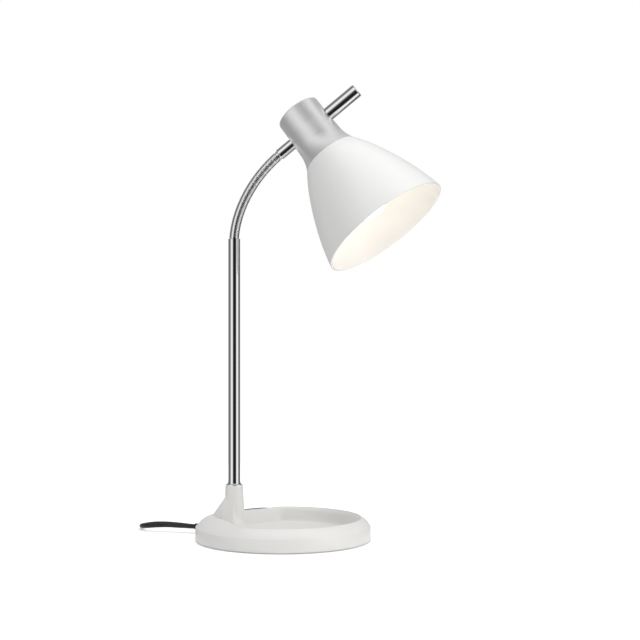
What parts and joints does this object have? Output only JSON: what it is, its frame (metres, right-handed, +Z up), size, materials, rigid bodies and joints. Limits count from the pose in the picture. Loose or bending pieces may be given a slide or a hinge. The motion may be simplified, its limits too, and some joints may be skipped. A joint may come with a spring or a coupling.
{
  "type": "desk lamp",
  "caption": "Gooseneck desk lamp with a round tray base, chrome post, ribbed bending neck, swivelling bell shade with a handle, screw-in bulb and a mains lead with a plug and inline switch",
  "frame": {"origin": "centre of the underside of the foot pad, on the table", "axes": "+Z up, +X from the post towards the side the shade reaches over, +Y to the left of that"},
  "size_m": [0.3239, 0.2606, 0.4519],
  "materials": {
    "white_moulding": "smooth off-white moulding with a soft sheen",
    "white_enamel": "smooth white gloss paint on spun steel",
    "cap_silver": "smooth satin silver",
    "post_chrome": "bright chrome",
    "neck_chrome": "bright chrome on ribbed links",
    "plated_steel": "zinc-plated steel",
    "ballast_iron": "rough cast iron",
    "pad_rubber": "black foam rubber",
    "black_plastic": "black moulded plastic",
    "cord_black": "black flexible sheath",
    "holder_white": "white heat-proof moulding",
    "holder_cream": "cream heat-proof moulding",
    "contact_brass": "bright brass",
    "bulb_cap_metal": "thin rolled metal",
    "frosted_glass": "white frosted glass"
  },
  "bodies": {
    "base": {"base_shell": "white_moulding", "ballast": "ballast_iron", "base_plate": "plated_steel", "foot_pad": "pad_rubber", "base_screws": "plated_steel", "cord_bush": "black_plastic", "cord_clamp": "black_plastic", "clamp_screws": "plated_steel", "post": "post_chrome", "post_collar": "post_chrome", "post_nipple": "plated_steel", "post_nut": "plated_steel", "post_washer": "plated_steel", "lead_in_base": "cord_black", "neck_socket": "neck_chrome", "cord_run": "cord_black", "cord_mid": "cord_black", "cord_coil": "cord_black", "cord_ties": "black_plastic", "cord_end": "cord_black", "plug_body": "black_plastic", "plug_pins": "plated_steel", "switch_bottom": "black_plastic", "switch_top": "black_plastic", "switch_screws": "plated_steel"},
    "neck_01": {"neck_link_01": "neck_chrome"},
    "neck_02": {"neck_link_02": "neck_chrome"},
    "neck_03": {"neck_link_03": "neck_chrome"},
    "neck_04": {"neck_link_04": "neck_chrome"},
    "neck_05": {"neck_link_05": "neck_chrome"},
    "neck_06": {"neck_link_06": "neck_chrome"},
    "neck_07": {"neck_link_07": "neck_chrome"},
    "neck_08": {"neck_link_08": "neck_chrome"},
    "neck_09": {"neck_link_09": "neck_chrome"},
    "neck_10": {"neck_link_10": "neck_chrome"},
    "neck_11": {"neck_link_11": "neck_chrome"},
    "neck_12": {"neck_link_12": "neck_chrome"},
    "neck_13": {"neck_link_13": "neck_chrome"},
    "bar": {"neck_ferrule": "post_chrome", "friction_washer": "plated_steel", "pivot_nut": "plated_steel", "lead_in_ferrule": "cord_black"},
    "head": {"head_cap": "cap_silver", "pivot_bush": "black_plastic", "handle_rod": "post_chrome", "handle_screw": "plated_steel", "handle_washer": "plated_steel", "shade": "white_enamel", "lampholder_body": "holder_white", "lampholder_core": "holder_cream", "shade_ring": "holder_white", "thread_sleeve": "plated_steel", "centre_contact": "contact_brass", "bulb_cap": "bulb_cap_metal", "bulb_globe": "frosted_glass", "lead_in_head": "cord_black"},
    "rocker": {"switch_rocker": "black_plastic"}
  },
  "joints": [
    {"name": "neck_sway_1", "type": "hinge", "parent": "base", "child": "neck_01", "pos_m": [-0.0508, 0, 0.3026], "axis": [-1, 0, 0], "range_deg": [-6.4, 6.4]},
    {"name": "neck_bend_1", "type": "hinge", "parent": "neck_01", "child": "neck_02", "pos_m": [-0.04992, 0, 0.30995], "axis": [0, 1, 0], "range_deg": [-7.1, 5.1]},
    {"name": "neck_sway_2", "type": "hinge", "parent": "neck_02", "child": "neck_03", "pos_m": [-0.04844, 0, 0.3172], "axis": [-0.9796, 0, 0.2008], "range_deg": [-6.4, 6.4]},
    {"name": "neck_bend_2", "type": "hinge", "parent": "neck_03", "child": "neck_04", "pos_m": [-0.04642, 0, 0.32432], "axis": [0, 1, 0], "range_deg": [-7.1, 5.1]},
    {"name": "neck_sway_3", "type": "hinge", "parent": "neck_04", "child": "neck_05", "pos_m": [-0.04392, 0, 0.33128], "axis": [-0.9411, 0, 0.338], "range_deg": [-6.4, 6.4]},
    {"name": "neck_bend_3", "type": "hinge", "parent": "neck_05", "child": "neck_06", "pos_m": [-0.04097, 0, 0.33807], "axis": [0, 1, 0], "range_deg": [-7.1, 5.1]},
    {"name": "neck_sway_4", "type": "hinge", "parent": "neck_06", "child": "neck_07", "pos_m": [-0.03761, 0, 0.34466], "axis": [-0.891, 0, 0.454], "range_deg": [-6.4, 6.4]},
    {"name": "neck_bend_4", "type": "hinge", "parent": "neck_07", "child": "neck_08", "pos_m": [-0.03387, 0, 0.35105], "axis": [0, 1, 0], "range_deg": [-7.1, 5.1]},
    {"name": "neck_sway_5", "type": "hinge", "parent": "neck_08", "child": "neck_09", "pos_m": [-0.02976, 0, 0.3572], "axis": [-0.832, 0, 0.5547], "range_deg": [-6.4, 6.4]},
    {"name": "neck_bend_5", "type": "hinge", "parent": "neck_09", "child": "neck_10", "pos_m": [-0.02532, 0, 0.36312], "axis": [0, 1, 0], "range_deg": [-7.1, 5.1]},
    {"name": "neck_sway_6", "type": "hinge", "parent": "neck_10", "child": "neck_11", "pos_m": [-0.02056, 0, 0.36879], "axis": [-0.766, 0, 0.6429], "range_deg": [-6.4, 6.4]},
    {"name": "neck_bend_6", "type": "hinge", "parent": "neck_11", "child": "neck_12", "pos_m": [-0.01551, 0, 0.3742], "axis": [0, 1, 0], "range_deg": [-7.1, 5.1]},
    {"name": "neck_sway_7", "type": "hinge", "parent": "neck_12", "child": "neck_13", "pos_m": [-0.01018, 0, 0.37933], "axis": [-0.6942, 0, 0.7198], "range_deg": [-6.4, 6.4]},
    {"name": "neck_bend_7", "type": "hinge", "parent": "neck_13", "child": "bar", "pos_m": [-0.0046, 0, 0.38419], "axis": [0, 1, 0], "range_deg": [-7.1, 5.1]},
    {"name": "head_swivel", "type": "hinge", "parent": "bar", "child": "head", "pos_m": [0.02803, 0, 0.40983], "axis": [0.7863, 0, 0.6179], "range_deg": [-150, 150]},
    {"name": "switch_rock", "type": "hinge", "parent": "base", "child": "rocker", "pos_m": [-0.093, 0.114, 0.009], "axis": [0.9781, 0.2079, 0], "range_deg": [0, 16]}
  ],
  "couplings": [
    {"joint": "neck_sway_2", "follows": "neck_sway_1", "ratio": 1},
    {"joint": "neck_bend_2", "follows": "neck_bend_1", "ratio": 1},
    {"joint": "neck_sway_3", "follows": "neck_sway_1", "ratio": 1},
    {"joint": "neck_bend_3", "follows": "neck_bend_1", "ratio": 1},
    {"joint": "neck_sway_4", "follows": "neck_sway_1", "ratio": 1},
    {"joint": "neck_bend_4", "follows": "neck_bend_1", "ratio": 1},
    {"joint": "neck_sway_5", "follows": "neck_sway_1", "ratio": 1},
    {"joint": "neck_bend_5", "follows": "neck_bend_1", "ratio": 1},
    {"joint": "neck_sway_6", "follows": "neck_sway_1", "ratio": 1},
    {"joint": "neck_bend_6", "follows": "neck_bend_1", "ratio": 1},
    {"joint": "neck_sway_7", "follows": "neck_sway_1", "ratio": 1},
    {"joint": "neck_bend_7", "follows": "neck_bend_1", "ratio": 1}
  ]
}
